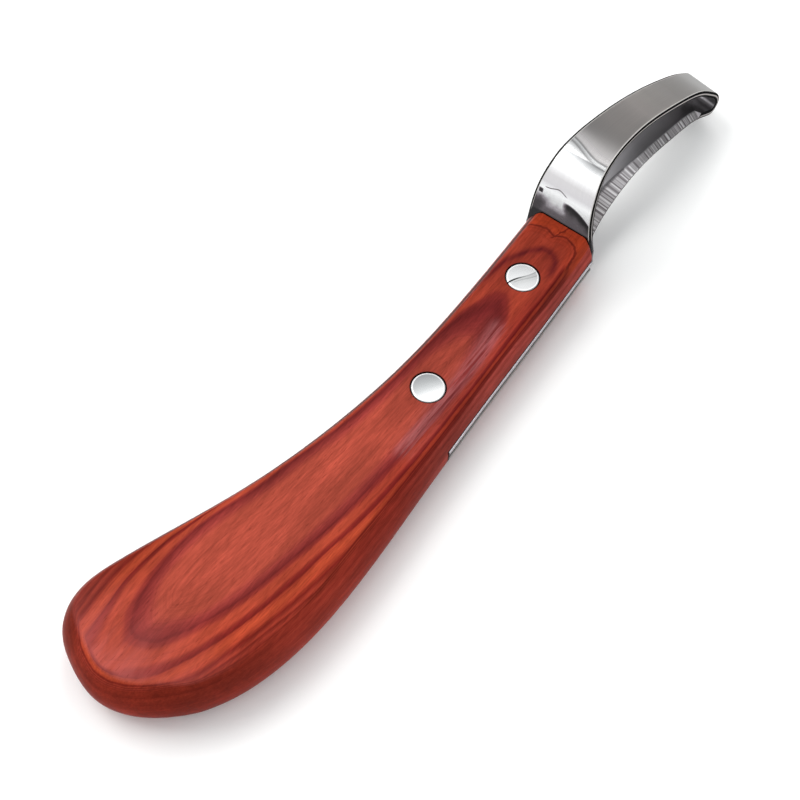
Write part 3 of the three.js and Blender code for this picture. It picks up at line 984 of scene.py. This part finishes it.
def rivet_steel():
    n = Nodes("rivet_steel")
    tilt, rim, above, along = (n.attribute(k) for k in ("tilt", "rim", "above_reflection_line", "from_middle"))
    # Painted reflection: one side of the dome darker, the other near white.
    color = n.colors(tilt, [
        (-1.0, (0.40, 0.40, 0.41)), (-0.3, (0.56, 0.57, 0.57)), (0.05, (0.70, 0.71, 0.71)),
        (0.42, (0.97, 0.97, 0.96)), (1.0, (0.98, 0.98, 0.97)),
    ])
    # A painted reflection: one dark line that thins out to the right, with a fainter one and painted shade
    # on the face under it.
    reach = n.ramp(along, -2.5, 1.5, 0.32, 0.2)
    dark_reflection = n.times(n.line(above, 0.1, reach), n.ramp(along, -1.6, 1.2, 1.0, 0.42))
    below = n.plus(n.plus(above, 0.85), n.times(along, 0.06))
    faint = n.times(n.line(below, 0.08, 0.34, 0.45), n.ramp(along, -3.2, -2.2))
    shade_below = n.times(n.ramp(above, 0.0, -0.25, 0.0, 0.3), n.ramp(above, -0.6, -2.8, 1.0, 0.7))
    color = n.mix(n.most(faint, shade_below), color, (0.03, 0.035, 0.03))
    # Painted highlight round the rim, made less metallic.
    color = n.mix(rim, color, (0.96, 0.95, 0.95))
    color = n.mix(dark_reflection, color, (0.008, 0.009, 0.008))
    swirl = n.noise(n.scaled_place((900, 900, 900)), 2.0, 0.5)
    n.put(n.shader.inputs["Base Color"], color)
    n.put(n.shader.inputs["Metallic"], n.ramp(rim, 0.0, 1.0, 1.0, 0.35))
    n.put(n.shader.inputs["Roughness"], n.ramp(swirl, 0.3, 0.7, 0.12, 0.18))
    return n.material


handle.data.materials.append(wood())
blade.data.materials.append(steel())
rivet_material = rivet_steel()
for piece in rivets:
    piece.data.materials.append(rivet_material)


# ---- stage, camera and light --------------------------------------------------------

# The floor lies a hair below the rest face.
FLOOR_REACH = 3.0
FLOOR_DROP = 0.0002
corners = [(-FLOOR_REACH, -FLOOR_REACH, 0), (FLOOR_REACH, -FLOOR_REACH, 0),
           (FLOOR_REACH, FLOOR_REACH, 0), (-FLOOR_REACH, FLOOR_REACH, 0)]
floor_mesh = bpy.data.meshes.new("floor")
floor_mesh.from_pydata(corners, [], [(0, 1, 2, 3)])
floor = bpy.data.objects.new("floor", floor_mesh)
bpy.context.scene.collection.objects.link(floor)
floor.location.z = -FLOOR_DROP
paper = Nodes("paper")
paper.shader.inputs["Base Color"].default_value = (0.93, 0.93, 0.915, 1)
paper.shader.inputs["Emission Color"].default_value = (0.95, 0.95, 1.0, 1)
paper.shader.inputs["Emission Strength"].default_value = 0.08
paper.shader.inputs["Roughness"].default_value = 0.9
paper.shader.inputs["Specular IOR Level"].default_value = 0.0
floor_mesh.materials.append(paper.material)

# The camera looks down along the handle from behind the palm, turned a little on its side.
CAMERA_PLACE = (-0.20365, -0.11641, 0.36371)
azimuth, elevation, roll = (math.radians(v) for v in (30.906, 58.144, -5.628))
forward = Vector((math.cos(elevation) * math.cos(azimuth), math.cos(elevation) * math.sin(azimuth),
                  -math.sin(elevation)))
level_right = forward.cross(Vector((0, 0, 1))).normalized()
level_down = forward.cross(level_right)
right = math.cos(roll) * level_right + math.sin(roll) * level_down
down = -math.sin(roll) * level_right + math.cos(roll) * level_down
camera_data = bpy.data.cameras.new("camera")
camera_data.sensor_width = 36
camera_data.lens = 85.5
camera_data.clip_start = 0.01
camera = bpy.data.objects.new("camera", camera_data)
bpy.context.scene.collection.objects.link(camera)
turned = Matrix((right, -down, -forward)).transposed().to_4x4()
camera.matrix_world = Matrix.Translation(CAMERA_PLACE) @ turned
bpy.context.scene.camera = camera


def softbox(name, place, size, power):
    """A square area light aimed at the middle of the knife."""
    data = bpy.data.lights.new(name, "AREA")
    data.shape = "RECTANGLE"
    data.size = size
    data.size_y = size
    data.energy = power
    lamp = bpy.data.objects.new(name, data)
    bpy.context.scene.collection.objects.link(lamp)
    lamp.location = place
    lamp.rotation_euler = (-Vector(place)).to_track_quat("-Z", "Y").to_euler()
    return lamp


softbox("key", (-0.2, 0.62, 0.8), 0.7, 6.0)
fill = softbox("fill", (0.6, 0.25, 0.7), 0.5, 2.5)
fill.visible_glossy = False
card = softbox("card", (-0.9, 0.35, 0.7), 1.0, 1.6)
card.visible_diffuse = False

# A pale grey room, brighter overhead and a little brighter behind the palm.
world = bpy.data.worlds.new("studio")
bpy.context.scene.world = world
world.use_nodes = True
sky = world.node_tree
where = sky.nodes.new("ShaderNodeTexCoord")
split = sky.nodes.new("ShaderNodeSeparateXYZ")
sky.links.new(where.outputs["Generated"], split.inputs[0])


def sky_band(source, low, high, amount):
    node = sky.nodes.new("ShaderNodeMapRange")
    node.interpolation_type = "SMOOTHSTEP"
    sky.links.new(source, node.inputs[0])
    for socket, value in zip(node.inputs[1:5], (low, high, 0, amount)):
        socket.default_value = value
    return node.outputs[0]


def sky_sum(a, b):
    node = sky.nodes.new("ShaderNodeMath")
    sky.links.new(a, node.inputs[0])
    if isinstance(b, float):
        node.inputs[1].default_value = b
    else:
        sky.links.new(b, node.inputs[1])
    return node.outputs[0]


overhead = sky_band(split.outputs[2], 0.55, 0.95, 0.85)
behind = sky_band(split.outputs[0], -0.35, -0.85, 0.2)
brightness = sky_sum(sky_sum(overhead, behind), 0.36)
sky.links.new(brightness, sky.nodes["Background"].inputs[1])
sky.nodes["Background"].inputs[0].default_value = (0.97, 0.985, 1.0, 1)
bpy.context.scene.view_settings.view_transform = "Standard"
